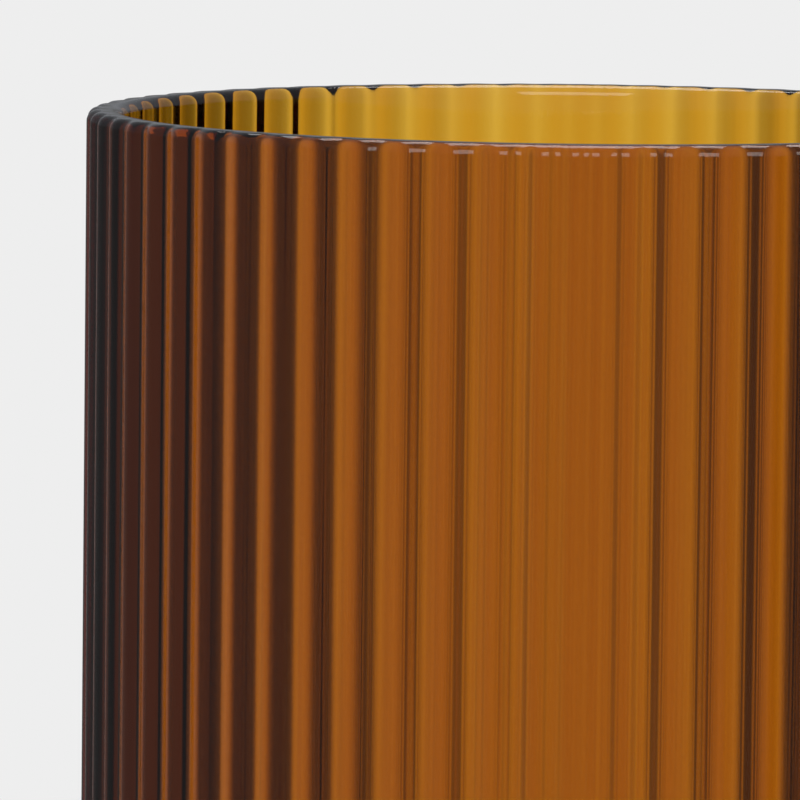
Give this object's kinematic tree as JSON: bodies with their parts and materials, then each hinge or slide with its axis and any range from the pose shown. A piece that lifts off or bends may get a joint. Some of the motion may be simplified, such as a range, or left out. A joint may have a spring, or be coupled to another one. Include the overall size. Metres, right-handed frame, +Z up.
{
  "type": "ribbed glass vase",
  "caption": "Straight-sided vase of thick amber glass, ribbed outside and smooth inside, open at the top, standing on a flat ring.",
  "frame": {"origin": "centre of the standing ring, on the surface that the vase stands on", "axes": "+Z up the vase's axis to its mouth; the two joint lines of the optic mould are at -Y and +Y"},
  "size_m": [0.1399, 0.14, 0.2],
  "materials": {
    "ribbed_glass": "amber glass, fire polished, with upright optic-mould ribs",
    "bore_glass": "amber glass, smooth and fire polished",
    "punty_glass": "amber glass, ground at the edge and polished in the middle"
  },
  "bodies": {
    "root": {"outer_casing": "ribbed_glass", "inner_casing": "bore_glass", "punty_disc": "punty_glass"}
  },
  "joints": []
}
